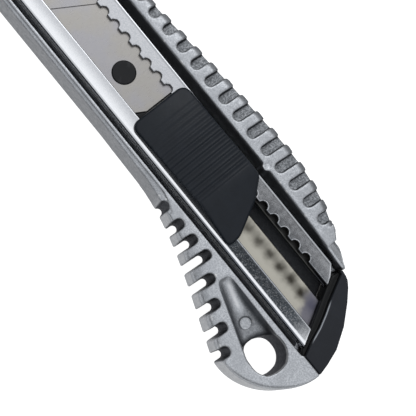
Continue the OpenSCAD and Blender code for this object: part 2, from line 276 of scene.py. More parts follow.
# Deep grooves beside the channel and hollows under it, as (y from, y to, x start)
DEEP_GROOVES = ((-12.2, CHANNEL_Y - CHANNEL_HALF, 20), (CHANNEL_Y + CHANNEL_HALF, 12.15, 9))
HOLLOWS = ((-7.4, -2.2, 5), (2.8, 7.4, 22))
HOLLOWS_END_X, HOLLOWS_TOP = 139, 9
FINGER_SLOTS = [[58.3, 14], [52.35, 13.8], [47.15, 13.7], [41.85, 13.5], [36.55, 16.6], [30.8, 19.7],
                [24.95, 22.2], [19.75, 25.6]]
SLOT_WIDTH, SLOT_DRAFT = 2.75, 0.025
COMB_BEND = (42, 15.4)
TOOTH_SLOPE = math.radians(32)
TEETH_TURNS = (math.radians(1.6), math.radians(26.2))
POCKET_PITCH, POCKET_WIDTH, FIRST_POCKET_X, POCKET_COUNT = 5.8, 2.9, 30.0, 18
POCKET_Y, POCKET_FLOOR = -13.95, BODY_TOP - 2.4
RIB_WIDTH, RIB_LENGTH, RIB_BACK, RIB_DROP = POCKET_PITCH - POCKET_WIDTH + 0.1, 6, 0.7, 0.3
# Slope of the ribs' ends, and the factor that makes it a true distance
RIB_END_SLOPE, RIB_END_REACH, RIB_END_SCALE = 0.45, 1.7, 0.91
# End of the rim behind the last rib: where it starts, its height and its slope
HEEL_X, HEEL_TOP, HEEL_SLOPE = 23.2, 11.75, 0.6
HEEL_INNER_EDGE = (16, 27), (-11.4, -12.2)
LANYARD_HOLE = [[15.6, 13.8, 4], [17.75, 18.2, 8], [17.85, 22.9, 3.2], [9.8, 24.6, 5], [6.5, 19.6, 7],
                [8.9, 13.8, 5]]
LANYARD_RECESS = [[35, 13.4, 1.2], [35.4, 16.9, 0.9], [14.5, 24.2, 4], [10.4, 23.6, 3.4], [8, 19.6, 3.2],
                  [10.2, 13.9, 3.2]]
RECESS_Z, RECESS_CLIMB, RECESS_DRAFT = 8.2, 3.9, 0.3
RECESS_RAMP = (26.5, 36)
RIDGE, RIDGE_HEIGHT, RIDGE_REACH = ((24.7, 16.5), (34.5, 14.6)), 0.4, 0.55
# Round marks of the ejector pins: in the recess, and on a boss in the rim
RECESS_DISC, RECESS_DISC_R = (21.9, 17.4), 1.65
RIM_DISC, RIM_DISC_R = (49.7, -13.0), 0.85
RIM_BOSS, RIM_BOSS_R = (RIM_DISC[0], RIM_DISC[1] + 0.35), 1.25


def handle_outline():
    return np.concatenate([bezier(NOSE_CURVE), RIM_FRONT, bezier(COMB_CURVE, 20), bezier(TAIL_CURVE, 20),
                           CAP_SEAT, HEEL_END, bezier(HEEL_CURVE, 16), bezier(THUMB_CURVE, 16),
                           bezier(THUMB_NOSE_CURVE)])


def side_y(x):
    """The y of the thumb side's edge at a distance from the tail"""
    curve = np.concatenate([bezier(HEEL_CURVE, 30), bezier(THUMB_CURVE, 30), THUMB_SIDE_END])
    return np.interp(x, curve[:, 0], curve[:, 1])


def rim_flare(x):
    """How far outwards the bead of the cutting-edge side's rim has run, from the comb's end back"""
    return np.clip((63 - x) / 5, 0, 2) ** 2


def pocket_at(i):
    return FIRST_POCKET_X + POCKET_PITCH * i, POCKET_Y


def rib(x, reach):
    """A rounded bar that stands out from the thumb side"""
    def field(px, py, z):
        along = -((py - reach) * math.cos(SLOT_LEAN) + (px - x) * math.sin(SLOT_LEAN))
        across = (px - x) * math.cos(SLOT_LEAN) - (py - reach) * math.sin(SLOT_LEAN)
        plan = both(np.abs(across) - RIB_WIDTH / 2, np.maximum(along, -RIB_LENGTH - along), 1.0)
        return both(both(plan, z - (BODY_TOP - RIB_DROP), 0.45), -z, BACK_ROUND)
    return field


def rib_ends(x, y, z):
    """The slope that the ribs' ends are cut back to"""
    return (z - BODY_TOP + RIB_END_SLOPE * (side_y(x) + RIB_END_REACH - y)) * RIB_END_SCALE


def ridge(x, y, width):
    """1 along the middle of the low ridge in the recess, 0 away from it"""
    (x0, y0), (x1, y1) = RIDGE
    length = math.dist(*RIDGE)
    along = ((x - x0) * (x1 - x0) + (y - y0) * (y1 - y0)) / length
    across = ((x - x0) * (y1 - y0) - (y - y0) * (x1 - x0)) / length
    return np.exp(-(across / width) ** 2 - ((along / length - RIDGE_REACH) / RIDGE_REACH) ** 4)


def recess_field(x, y, z):
    """The recess for a wrist cord, whose floor climbs towards the comb and has a low ridge"""
    ramp = ease(x, RECESS_RAMP[0], RECESS_RAMP[1] - RECESS_RAMP[0])
    floor = RECESS_Z + RECESS_CLIMB * ramp ** 1.3 + RIDGE_HEIGHT * ridge(x, y, 1.5)
    side = outline_field(rounded(LANYARD_RECESS), x, y) + RECESS_DRAFT * (BODY_TOP - z)
    return both(side, floor - z, 1.5)


def above_teeth(x, y, z):
    """The slope of the comb's teeth, which runs out beside the hole and before the rim"""
    away = [(x - COMB_BEND[0]) * math.sin(t) + (y - COMB_BEND[1]) * math.cos(t) for t in TEETH_TURNS]
    fade = 4 * ease(x, 20, -4) ** 2 + 3 * ease(x, 58, 7) ** 2
    return (z - BODY_TOP) * math.cos(TOOTH_SLOPE) + np.minimum(*away) * math.sin(TOOTH_SLOPE) - fade


def above_heel(x, y, z):
    """The rim's end behind the last rib, lower and sloping outwards"""
    inner = np.interp(x, *HEEL_INNER_EDGE)
    slope = (z - HEEL_TOP) * math.cos(HEEL_SLOPE) + (inner - y) * math.sin(HEEL_SLOPE)
    return np.where(x < HEEL_X, slope, -3)


def casting():
    # The grid starts off the flat back's plane, so that no grid point lies on it
    solid = Solid((-1.5, -22.2, -1.05), (149.4, 30.8, 13), 0.3)
    outline = handle_outline()

    def body(x, y, z):
        """The outline, rounded more at the back end"""
        r = EDGE_ROUND + TAIL_EXTRA_ROUND * ease(x, 19, -5) * ease(y, 15, 5)
        side = outline_field(outline, x, y)
        top = z - BODY_TOP
        arc = np.hypot(np.maximum(side + r, 0), np.maximum(top + r, 0))
        return both(np.minimum(np.maximum(side, top), -r) + arc, -z, BACK_ROUND)
    solid.add(body)
    # Shoulder outside the narrow rim of the cutting-edge side
    solid.cut(lambda x, y, z: np.maximum(SHOULDER_Y + rim_flare(x) - y, BODY_TOP - SHOULDER_DROP - z), 0.15,
              (56, 12, 10), (145, 16, 13))
    # Tip of the rim's end, which meets the cap
    solid.add(prism(RIM_TIP, *RIM_TIP_Z), 0.2)
    # Ribs under the thumb, with sloping ends, down to the flat back
    for i in range(-1, POCKET_COUNT):
        x = pocket_at(i + 0.5)[0] - RIB_BACK
        reach = side_y(x)
        solid.add(rib(x, reach), 0.35, (x - 4, reach - 2, -1), (x + 4, reach + 6, 13))
    solid.keep(rib_ends, 0.5, (27, -23, 9), (136, -14.6, 13))
    solid.keep(lambda x, y, z: -z, 0, (20, -23, -1), (140, -12, 1))
    solid.keep(above_teeth, 1.1, (15, 10, -1), (70, 30, 13))
    # Trough, rounded more on the thumb side, and the channel's seat
    trough = prism(TROUGH, CHANNEL_Z, 30)
    solid.cut(trough, 0.4, (0, 0, 0), (150, 15, 13))
    solid.cut(trough, 0.95, (0, -15, 0), (150, 0, 13))
    solid.cut(block((-3, CHANNEL_Y - CHANNEL_HALF, CHANNEL_Z), (160, CHANNEL_Y + CHANNEL_HALF, 30)), 0.15)
    for low, high, start in DEEP_GROOVES:
        solid.cut(block((start, low, BACK_WALL), (HOLLOWS_END_X, high, HOLLOWS_TOP)))
    for low, high, start in HOLLOWS:
        solid.cut(block((start, low, BACK_WALL), (HOLLOWS_END_X, high, HOLLOWS_TOP), 0.4), 0.2)
    solid.keep(above_heel, 0.4, (14, -17, 4), (25, -9, 13))
    # Finger slots, narrower towards the back
    for at in FINGER_SLOTS:
        solid.cut(blind_slot(at, SLOT_WIDTH, SLOT_LEAN, -3, 1, draft=SLOT_DRAFT), 0.4,
                  (at[0] - 5, at[1] - 4, -1), (at[0] + 6, at[1] + 12, 13))
    # Pockets between the ribs
    for at in map(pocket_at, range(POCKET_COUNT)):
        solid.cut(blind_slot(at, POCKET_WIDTH, SLOT_LEAN, POCKET_FLOOR, -1, 0.35), 0.35,
                  (at[0] - 3.5, -24, 8), (at[0] + 3.5, POCKET_Y + 2.5, 13))
    # Recess and hole for a wrist cord
    solid.cut(recess_field, 0.3, (2, 10, 6), (38, 28, 13))
    hole = rounded(LANYARD_HOLE)
    solid.cut(lambda x, y, z: outline_field(hole, x, y) - 0.1 + 0.03 * (BODY_TOP - z), 0.3,
              (2, 10, -1), (22, 28, 13))
    solid.cut(post(RECESS_DISC, RECESS_DISC_R, RECESS_Z - 0.3, 20), 0.0, (19, 15, 7), (25, 20, 9.5))
    solid.add(post(RIM_BOSS, RIM_BOSS_R, 5, BODY_TOP - 0.05, 0.25), 0.3, (46, -15.5, 4), (54, -10, 13))
    solid.cut(post(RIM_DISC, RIM_DISC_R, BODY_TOP - 0.22, 20), 0.06, (48, -15, 11), (52, -11, 13))
    return solid


def near(distance, reach):
    """1 on a surface, falling to 0 away from it"""
    return np.clip(1.3 - np.abs(distance) / reach, 0, 1)


def casting_painted_light(x, y, z):
    """Painted shade on the walls of slots, hole and pockets, in the recess, on the flank and in the grooves
    beside the channel, with a painted highlight on the recess's ridge
    """
    below = ease(z, BODY_TOP - 0.25, -0.5)
    painted_light = np.zeros(len(x), np.float32)
    # Painted shade on the walls of the finger slots, the cord hole and the pockets
    for at in FINGER_SLOTS:
        wall = blind_slot(at, SLOT_WIDTH, SLOT_LEAN, -40, 1, high=60, draft=SLOT_DRAFT)(x, y, z)
        end = np.clip(1 - (y - at[1] - 2.6) / 2.5, 0.35, 1)
        painted_light = np.maximum(painted_light, near(wall, 0.3) * end * below)
    hole = outline_field(rounded(LANYARD_HOLE), x, y)
    painted_light = np.maximum(painted_light, near(hole + 0.1, 2) * ease(z, BODY_TOP - 0.4, -1.5))
    for at in map(pocket_at, range(POCKET_COUNT)):
        wall = blind_slot(at, POCKET_WIDTH, SLOT_LEAN, -40, -1, high=60)(x, y, z)
        painted_light = np.maximum(painted_light, 0.9 * near(wall, 0.3) * below)
    # Painted shade on the rounded ends of the ribs, and a light darkening over the whole thumb side
    ends = ease(y, side_y(x) + 1.9, -0.8) * (x > 27) * (z > POCKET_FLOOR + 0.5)
    painted_light = np.maximum(painted_light, 0.6 * ends)
    painted_light = np.maximum(painted_light, 0.13 * ease(y, -13.2, -0.4))
    # Painted shade in the recess, less on its ridge and the pin mark, and a painted shadow in the pin
    # mark's ring
    disc = np.hypot(x - RECESS_DISC[0], y - RECESS_DISC[1])
    painted_recess_shade = np.where(disc < 1.5, 0.1, 0.5) * (1 - ridge(x, y, 1.1)) * np.maximum(ease(y, 13.2, 2.5), 0.3)
    ring = near(disc - RECESS_DISC_R, 0.35) * ease(x, RECESS_DISC[0] - 1.2, 2)
    sunken = ease(outline_field(rounded(LANYARD_RECESS), x, y), 0, -0.6) * ease(z, BODY_TOP - 0.5, -0.8)
    painted_light = np.maximum(painted_light, np.maximum(painted_recess_shade, 0.75 * ring) * sunken)
    # Painted shade on the flank outside the rim's bead, and a painted dark line where it starts
    outside = y - rim_flare(x) - 13.0
    painted_flank_shade = ease(outside, 0, 0.15) * ease(x, 57, 5) * (z < BODY_TOP - 0.2)
    painted_light = np.maximum(painted_light, painted_flank_shade * (0.3 + 0.05 * np.clip(y - 13, 0, 3)))
    painted_light = np.maximum(painted_light, 0.7 * near(outside, 0.12) * ease(x, 57, 3) * (z < BODY_TOP - 0.1))
    # Painted shade in the hollows seen through the channel's slot, and in the groove on the thumb side
    painted_light = np.where((np.abs(y) < 9.2) & (z < CHANNEL_Z - 0.05) & (z > 0.5), 1, painted_light)
    painted_light = np.where((y < -9.2) & (y > -13.3), 0.22 * ease(z, 11.4, -1.5), painted_light)
    # Painted highlight along the recess's ridge, as values below 0
    return painted_light - 0.7 * ridge(x, y, 0.9) * sunken


# ---- The folded guide channel

CHANNEL_END = [[-1, -20], [19.8, -20], [19.8, -10.7], [16.9, -7.8], [15.8, -6], [7, 10.5], [5.6, 13],
               [-1, 13]]
CHANNEL_INNER = CHANNEL_HALF - SHEET
NOSE_X, NOSE_LEAN = 162.0, math.radians(30)
BEND_R, INNER_BEND_R = 0.5, 0.25
LIP_FALL, LIP_FALL_Y = 0.14, 8.75
# The slot in the floor, as (y from, y to, x end)
FLOOR_SLOT = (-5.35, -1.95, 66)
# Each notch is a round hole with a leaning square hook beside it
NOTCH_R, HOOK_TURN, HOOK_HALF = 1.25, math.radians(25), (0.85, 0.7)
# Longer than any part, for blocks that run past both ends
ENDLESS = 1000


def channel_painted_shade(x, y, z):
    """Painted shade on the cut edges of the lips and on the floor under the teeth"""
    cut = (y > -8) & (y < 0) & (z > LIP_UNDER_Z - 0.1) & (z < LIPS_Z - 0.03)
    painted_floor_shade = (y < FLOOR_SLOT[1] - 0.1) & (z < LIP_UNDER_Z)
    return np.where(cut | painted_floor_shade, 1.0, 0)


def channel():
    solid = Solid((4, -11.1, 5.6), (172, 10.6, 10.7), 0.2)
    middle = (CHANNEL_Z + LIPS_Z) / 2
    solid.add(block((-ENDLESS, CHANNEL_Y - CHANNEL_HALF, CHANNEL_Z),
                    (ENDLESS, CHANNEL_Y + CHANNEL_HALF, LIPS_Z), BEND_R))
    solid.cut(block((-ENDLESS, CHANNEL_Y - CHANNEL_INNER, FLOOR_Z),
                    (ENDLESS, CHANNEL_Y + CHANNEL_INNER, LIP_UNDER_Z), INNER_BEND_R))
    # The plain lip falls away a little towards its bend
    solid.keep(lambda x, y, z: z - LIPS_Z + LIP_FALL * np.maximum(y - LIP_FALL_Y, 0), 0.03)
    solid.cut(block((-ENDLESS, TOOTH_TIP_Y, middle), (ENDLESS, PLAIN_LIP_Y, 20)), 0.12)
    for i in range(NOTCH_COUNT):
        x = FIRST_NOTCH_X + NOTCH_PITCH * i
        window = (x - 3, TOOTH_TIP_Y - 3, middle), (x + 3.5, TOOTH_TIP_Y + 0.6, 11)
        solid.cut(post((x, TOOTH_TIP_Y - 0.05), NOTCH_R, middle, 20), 0.14, *window)

        def hook(px, py, z, x=x):
            along = (px - x) * math.cos(HOOK_TURN) + (py - TOOTH_TIP_Y + 0.4) * math.sin(HOOK_TURN)
            across = -(px - x) * math.sin(HOOK_TURN) + (py - TOOTH_TIP_Y + 0.4) * math.cos(HOOK_TURN)
            plan = both(*(np.abs(d - half) - half for d, half in zip((along, across), HOOK_HALF)), 0.2)
            return np.maximum(plan, middle - z)
        solid.cut(hook, 0.15, *window)
    solid.cut(prism(CHANNEL_END, 0, 20), 0.15, (4, -12, 5), (24, 12, 12))
    solid.keep(lambda x, y, z: (x - NOSE_X) * math.cos(NOSE_LEAN) - y * math.sin(NOSE_LEAN), 0.2,
               (150, -12, 5), (180, 12, 12))
    low, high, end = FLOOR_SLOT
    solid.cut(block((-5, low, 0), (end, high, 8)), 0.15, (0, -9, 5), (70, 0, 8))
    # Seats and holes of the flush rivets
    for x in RIVET_XS:
        window = (x - 4, -4, 5), (x + 4, 4, 8)
        solid.cut(post((x, RIVET_Y), 1.85, FLOOR_Z - 0.6, 20), 0.0, *window)
        solid.cut(post((x, RIVET_Y), 1.0, 0, 20), 0.0, *window)
    return solid


# ---- Plastic parts

CAP_EDGE = [[-0.4, 11.6], [0.3, 8.4], [1.7, 4], [4.95, -1.4], [9, -6.15], [11.9, -9], [13.5, -10.15],
            [14.6, -10.5], [16.38, -10.75]]
CAP_FRONT = [[16.7, -8.1], [16.6, -7.75], [15.85, -6], [7.05, 10.75], [6.2, 11.6]]
CAP_SHELF = [[15.8, -9.95], [20, -9.95], [7.4, 14], [5.5, 12], [7.6, 7.4], [8.85, 3.9], [10.5, 0.5],
             [12.3, -2.7], [13.9, -6]]
CAP_FOOT = [[14.6, -10.2], [15.6, -11.7], [16.6, -12.4], [16.9, -12.3], [16.2, -11.4], [16.1, -10.2]]
CAP_FOOT_TOP = 7.5
# y range of the painted highlight along the shelf's edge, fading over 2 mm at each end
PAINTED_HIGHLIGHT_Y, PAINTED_HIGHLIGHT_FADE = (-3.6, 8.4), 2
CARRIER_HALF = CHANNEL_HALF - SHEET - 0.32
CARRIER_Z, PRONG_TOP = FLOOR_Z + 0.1, LIP_UNDER_Z - 0.1
CAP_PRONGS = ([[7, 7.6], [7, CARRIER_HALF], [20, CARRIER_HALF], [20, 5.6], [9, 5.6]],
              [[15, -CARRIER_HALF], [15, -6.5], [21, -6.5], [22, -7.5], [22, -CARRIER_HALF]])


def cap_painted_light(x, y, z):
    """Painted shade on the shelf, and below 0 a painted highlight along its edge above it"""
    edge = np.abs(outline_field(CAP_SHELF, x, y) - 0.22)
    painted_edge_highlight = np.clip(1.4 - edge / 0.16, 0, 1) * (z > BODY_TOP - 0.6)
    painted_edge_highlight = painted_edge_highlight * ease(y, PAINTED_HIGHLIGHT_Y[0], PAINTED_HIGHLIGHT_FADE) * ease(y, PAINTED_HIGHLIGHT_Y[1], -PAINTED_HIGHLIGHT_FADE)
    return np.where(z < BODY_TOP - 0.7, 0.8, -painted_edge_highlight)


def end_cap():
    solid = Solid((-1.2, -11.6, -0.8), (23, 12.6, 12.8), 0.2)
    solid.add(prism(CAP_EDGE + CAP_FRONT, 0, BODY_TOP, 0.4, r_low=BACK_ROUND))
    solid.cut(prism(CAP_SHELF, LIPS_Z - 0.6, 20, 0.2), 0.2)
    # Foot that closes the corner under the end of the rim
    solid.add(prism(CAP_FOOT, 0, CAP_FOOT_TOP))
    for prong in CAP_PRONGS:
        solid.add(prism(prong, CARRIER_Z, PRONG_TOP, 0.2))
    return solid


SLIDER_FRONT_X = 80.1
SLIDER_OUTLINE = [[SLIDER_FRONT_X, 8.8, 2.6], [39.6, 8.8, 1.6], [39.9, 4.6, 6], [44.6, -4.6, 12],
                  [49, -9.8, 3], [SLIDER_FRONT_X, -9.8, 2.6]]
SLIDER_Z, SLIDER_TAPER = LIPS_Z + 0.1, 0.16
SLIDER_UNDERSIDE = [[47, 5.2], [79, 5.2], [79, -7.2], [54.5, -7.2], [51.5, -3], [47, -3]]
# Grip grooves, whose axes lie above the top, and higher towards the front
RIB_START_X, RIB_PITCH, RIB_COUNT = 53.0, 1.9, 12
GROOVE_R, GROOVE_RISE, GROOVE_EXTRA_RISE, GROOVE_SQUASH = 0.82, 0.4, 0.27, 1.1
SLIDER_TOP = [[39, 1.5], [41, 1.9], [51.5, 4.9], [54, 4.95], [75.5, 2.9], [79, 2.3], [81, 1.9]]


def slider_height(x):
    """Height of the slider's top above its underside, with the bends eased"""
    xs, heights = np.array(SLIDER_TOP).T
    return sum(np.interp(x + shift, xs, heights) for shift in np.linspace(-1.2, 1.2, 9)) / 9


def crown(y):
    """How much lower the slider's rounded top is than along its middle"""
    return 0.012 * (y + 0.4) ** 2


def thumb_slider():
    solid = Solid((38.4, -10.4, 9.6), (81, 9.4, 15.8), 0.16)
    solid.add(prism(rounded(SLIDER_OUTLINE), SLIDER_Z, SLIDER_Z + 9, 0.15, taper=SLIDER_TAPER))
    solid.keep(lambda x, y, z: z - SLIDER_Z - slider_height(x) + crown(y), 0.55)
    for i in range(RIB_COUNT):
        x = RIB_START_X + RIB_PITCH * (i + 0.5)
        top = SLIDER_Z + float(slider_height(x))
        rise = GROOVE_RISE + GROOVE_EXTRA_RISE * ease(x, 66, 8)

        def groove(px, py, z, x=x, top=top, rise=rise):
            return np.hypot(px - x, (z - top - rise + crown(py)) * GROOVE_SQUASH) - GROOVE_R
        solid.cut(groove, 0.25, (x - 1.6, -12, top - 2), (x + 1.6, 12, top + 3))
    solid.cut(prism(SLIDER_UNDERSIDE, 5, LIPS_Z + 1.2))
    return solid


BLADE_TAIL_X = 80.6
BLADE_TOP_Z = LIP_UNDER_Z - 0.1
BLADE_Z = BLADE_TOP_Z - 0.5
CARRIER_TAIL = [[48, -CARRIER_HALF], [45, -4], [42.5, 3], [42.5, CARRIER_HALF - 1], [43.5, CARRIER_HALF]]
CARRIER_TONGUE = ([[97, -CARRIER_HALF + 1], [96, -CARRIER_HALF]] + CARRIER_TAIL
                  + [[96, CARRIER_HALF], [97, CARRIER_HALF - 1]])
CARRIER_SHOULDER = ([[BLADE_TAIL_X - 0.15, -CARRIER_HALF]] + CARRIER_TAIL
                    + [[BLADE_TAIL_X + 3.2, CARRIER_HALF], [BLADE_TAIL_X - 0.15, 2.6]])
CARRIER_NECK = [[47.2, 5.1], [78.8, 5.1], [78.8, -5.15], [75.2, -5.15], [74, -1.9], [47.2, -1.9]]
SPRING_POCKET = [[76.8, -4.55], [73.8, -4.9], [54, -7.7], [54, -1.9], [74.2, -1.9], [76.8, -3.3]]
SPRING_ROOT, SPRING_ROOT_R = (77, -3.9), 0.8
PEG_R = 3.2


def blade_carrier():
    solid = Solid((41.8, -9.8, 6.5), (97.8, 9.8, 11.9), 0.2)
    solid.add(prism(CARRIER_TONGUE, CARRIER_Z, BLADE_Z - 0.05, 0.1))
    solid.add(prism(CARRIER_SHOULDER, CARRIER_Z, BLADE_TOP_Z, 0.1))
    solid.add(prism(CARRIER_NECK, BLADE_Z - 1, LIPS_Z + 1.1, 0.1))
    solid.add(post(PEG, PEG_R, CARRIER_Z, BLADE_TOP_Z + 0.3, 0.2))
    solid.cut(prism(SPRING_POCKET, BLADE_Z - 0.4, 20))
    solid.cut(post(SPRING_ROOT, SPRING_ROOT_R, BLADE_Z - 0.4, 20))
    return solid


# ---- Materials

# Colour of the painted shade
PAINTED_SHADE_COLOUR = (0.02, 0.022, 0.026)


class Nodes:
    """A material's node tree, written as calls"""

    def __init__(self, name):
        self.material = bpy.data.materials.new(name)
        self.material.use_nodes = True
        self.tree = self.material.node_tree
        self.shader = self.tree.nodes["Principled BSDF"]
        self.place = self.node("ShaderNodeTexCoord").outputs["Object"]

    def node(self, kind, inputs=(), **settings):
        node = self.tree.nodes.new(kind)
        for key, value in settings.items():
            setattr(node, key, value)
        for key, value in dict(inputs).items():
            self.put(node.inputs[key], value)
        return node

    def put(self, socket, value):
        if isinstance(value, bpy.types.NodeSocket):
            self.tree.links.new(value, socket)
        elif isinstance(value, (tuple, list)) and len(value) == 3 and socket.type == "RGBA":
            socket.default_value = (*value, 1)
        else:
            socket.default_value = value

    def set(self, **values):
        for key, value in values.items():
            self.put(self.shader.inputs[key.replace("_", " ")], value)

    def noise(self, size_mm, detail=3.0, roughness=0.55, stretch=None, seed=0.0):
        place = self.place
        if stretch or seed:
            place = self.node("ShaderNodeMapping", {"Vector": place, "Scale": stretch or (1, 1, 1),
                                                   "Location": (seed, seed, seed)}).outputs[0]
        return self.node("ShaderNodeTexNoise", {"Vector": place, "Scale": 1 / (size_mm * MM),
                                                "Detail": detail, "Roughness": roughness}).outputs["Fac"]

    def math(self, operation, a, b=0.0):
        return self.node("ShaderNodeMath", {0: a, 1: b}, operation=operation).outputs[0]

    def ramp(self, value, low, high, to_low=0.0, to_high=1.0):
        return self.node("ShaderNodeMapRange", {"Value": value, "From Min": low, "From Max": high,
                                                "To Min": to_low, "To Max": to_high},
                         interpolation_type="SMOOTHSTEP").outputs["Result"]

    def mix(self, factor, a, b):
        node = self.node("ShaderNodeMix", data_type="RGBA")
        for socket, value in zip((node.inputs[0], node.inputs[6], node.inputs[7]), (factor, a, b)):
            self.put(socket, value)
        return node.outputs[2]

    def axis(self, letter):
        return self.node("ShaderNodeSeparateXYZ", {0: self.place}).outputs["XYZ".index(letter)]

    def bump(self, height, depth_mm, strength):
        return self.node("ShaderNodeBump", {"Height": height, "Distance": depth_mm * MM,
                                            "Strength": strength}).outputs[0]

    def facing_up(self):
        """1 on surfaces that face straight up, 0 on walls"""
        normal = self.node("ShaderNodeTexCoord").outputs["Normal"]
        return self.node("ShaderNodeSeparateXYZ", {0: normal}).outputs[2]

    def edges(self, low, high):
        """How much a place stands out: 0 in hollows, 1 on edges"""
        return self.ramp(self.node("ShaderNodeNewGeometry").outputs["Pointiness"], low, high)

    def painted_light(self):
        """The mesh's painted light value: 1 is painted shade, 0 is none, below 0 is a painted highlight"""
        return self.node("ShaderNodeAttribute", attribute_name="painted_light").outputs["Fac"]

    def times(self, a, b):
        return self.math("MULTIPLY", a, b)


def cast_metal():
    m = Nodes("cast_metal")
    grain, patches = m.noise(0.35, 4), m.noise(4.5, 3)
    # Pocket floors keep the rough skin of the casting
    pockets = m.times(m.ramp(m.axis("Z"), 0.0112, 0.0104), m.ramp(m.axis("Y"), -0.0135, -0.0139))
    tone = m.ramp(grain, 0.3, 0.7)
    colour = m.mix(tone, (0.31, 0.325, 0.35), (0.53, 0.55, 0.575))
    colour = m.mix(m.ramp(patches, 0.35, 0.7, 0, 0.55), colour, (0.33, 0.345, 0.365))
    skin = m.times(pockets, m.ramp(grain, 0.35, 0.65, 0.9, 0.2))
    colour = m.mix(skin, colour, (0.13, 0.14, 0.15))
    colour = m.mix(m.edges(0.53, 0.64), colour, (0.64, 0.65, 0.66))
    # Walls are painted darker than the top as shade, and the mesh's painted shade is darker still
    painted_wall_shade = m.ramp(m.facing_up(), 0.75, 0.25)
    colour = m.mix(m.times(painted_wall_shade, 0.62), colour, (0.1, 0.105, 0.115))
    painted_light = m.painted_light()
    colour = m.mix(m.times(painted_light, 0.9), colour, PAINTED_SHADE_COLOUR)
    rough = m.ramp(m.noise(0.8, 3, seed=3), 0.3, 0.7, 0.34, 0.48)
    rough = m.math("ADD", rough, m.times(pockets, 0.15))
    # Painted highlight where the mesh's value falls below 0
    colour = m.mix(m.ramp(painted_light, 0, -1), colour, (0.75, 0.76, 0.78))
    # The painted shade also takes the shine off walls seen edge-on
    dark = m.ramp(painted_light, 0, 1)
    m.set(Base_Color=colour, Metallic=0.95, Roughness=m.math("ADD", rough, m.times(dark, 0.2)),
          Specular_Tint=m.mix(dark, (1, 1, 1), (0.6, 0.6, 0.62)))
    strength = m.math("ADD", m.times(pockets, 0.6), 0.3)
    m.set(Normal=m.bump(grain, 0.09, strength))
    return m.material


def channel_steel():
    m = Nodes("channel_steel")
    x, y = m.axis("X"), m.axis("Y")

    def along(start, end, low=0, high=1):
        """A ramp between two distances from the tail, in millimetres"""
        return m.ramp(x, (start - TAIL) * MM, (end - TAIL) * MM, low, high)

    def across(start, end, low=0, high=1):
        return m.ramp(y, start * MM, end * MM, low, high)

    def distance(value, from_mm):
        return m.math("ABSOLUTE", m.math("SUBTRACT", value, from_mm * MM))

    speckle, drawn = m.noise(0.3, 4), m.noise(0.5, 2, stretch=(0.12, 1, 1))
    # Painted reflection: lit steel along one bend, shaded greyer across to the teeth
    tone = m.ramp(speckle, 0.35, 0.65)
    painted_lit_steel = m.mix(tone, (0.79, 0.81, 0.83), (0.83, 0.84, 0.86))
    painted_shaded_steel = m.mix(tone, (0.47, 0.485, 0.51), (0.55, 0.56, 0.58))
    colour = m.mix(across(5.6, 9.2), painted_shaded_steel, painted_lit_steel)
    # Painted dark reflection on the lips behind the slider, where bright flecks show through
    rear = m.times(along(46, 40), along(8, 15))
    plain_lip = m.times(across(5.2, 6.1), m.ramp(distance(y, 9.05), 0.22 * MM, 0.45 * MM))
    toothed_lip = m.times(across(-8.6, -4.6, 0, 0.65), across(0, -1))
    flecks = m.ramp(m.noise(0.4, 2, seed=7), 0.45, 0.72, 1, 0.35)
    painted_dark_reflection = m.times(m.times(rear, flecks), m.math("ADD", plain_lip, toothed_lip))
    colour = m.mix(painted_dark_reflection, colour, (0.13, 0.15, 0.17))
    # Painted shade round the outside of both bends
    outside = m.times(across(9.25, 9.55), along(78, 50, 0.45, 0.92))
    colour = m.mix(outside, colour, (0.1, 0.11, 0.125))
    colour = m.mix(across(-9.2, -9.5, 0, 0.5), colour, (0.25, 0.26, 0.27))
    # The floor is duller, with painted reflections: a dark smear under each tooth, and a dark reflection of
    # the end cap beside it
    phase = m.math("ADD", x, (TAIL - FIRST_TOOTH_REFLECTION_X + NOTCH_PITCH / 4) * MM)
    wave = m.math("SINE", m.times(phase, 2 * math.pi / (NOTCH_PITCH * MM)))
    wobble = m.times(m.math("SUBTRACT", m.noise(2.5, 2), 0.5), 2.4 * MM)
    off = distance(m.math("ADD", y, wobble), 0.4)
    painted_tooth_reflection = m.times(m.ramp(off, 2.9 * MM, 0), m.ramp(wave, -1, 1, 0.6, 1))
    floor_colour_and_reflections = m.mix(m.times(painted_tooth_reflection, along(45, 18, 0.8, 1)), (0.4, 0.387, 0.34), (0.035, 0.032, 0.026))
    behind = m.math("ADD", x, m.times(y, 0.53))
    painted_cap_reflection = m.ramp(m.math("ADD", behind, wobble), (18.4 - TAIL) * MM, (15.6 - TAIL) * MM)
    floor_colour_and_reflections = m.mix(m.times(painted_cap_reflection, 0.8), floor_colour_and_reflections, (0.1, 0.1, 0.14))
    floor = m.ramp(m.axis("Z"), (LIP_UNDER_Z - 1) * MM, (FLOOR_Z + 0.3) * MM)
    colour = m.mix(floor, colour, floor_colour_and_reflections)
    # Painted shade from the mesh's value
    colour = m.mix(m.times(m.painted_light(), 0.9), colour, PAINTED_SHADE_COLOUR)
    rough = m.ramp(m.noise(1.2, 3, seed=5), 0.3, 0.7, 0.11, 0.15)
    m.set(Base_Color=colour, Metallic=1.0, Roughness=m.math("ADD", rough, m.times(floor, 0.25)))
    m.set(Normal=m.bump(m.math("ADD", speckle, m.times(drawn, 0.4)), 0.02, 0.16))
    return m.material


def blade_steel():
    m = Nodes("blade_steel")
    clouds, ground = m.noise(7, 2), m.noise(0.2, 2, stretch=(1, 0.08, 1))
    colour = m.mix(m.ramp(clouds, 0.35, 0.65), (0.31, 0.3, 0.285), (0.3, 0.297, 0.312))
    colour = m.mix(m.ramp(ground, 0.3, 0.7, 0, 0.08), colour, (0.25, 0.245, 0.24))
    m.set(Base_Color=colour, Metallic=1.0, Roughness=m.ramp(ground, 0.3, 0.7, 0.27, 0.35))
    m.set(Normal=m.bump(ground, 0.01, 0.08))
    return m.material


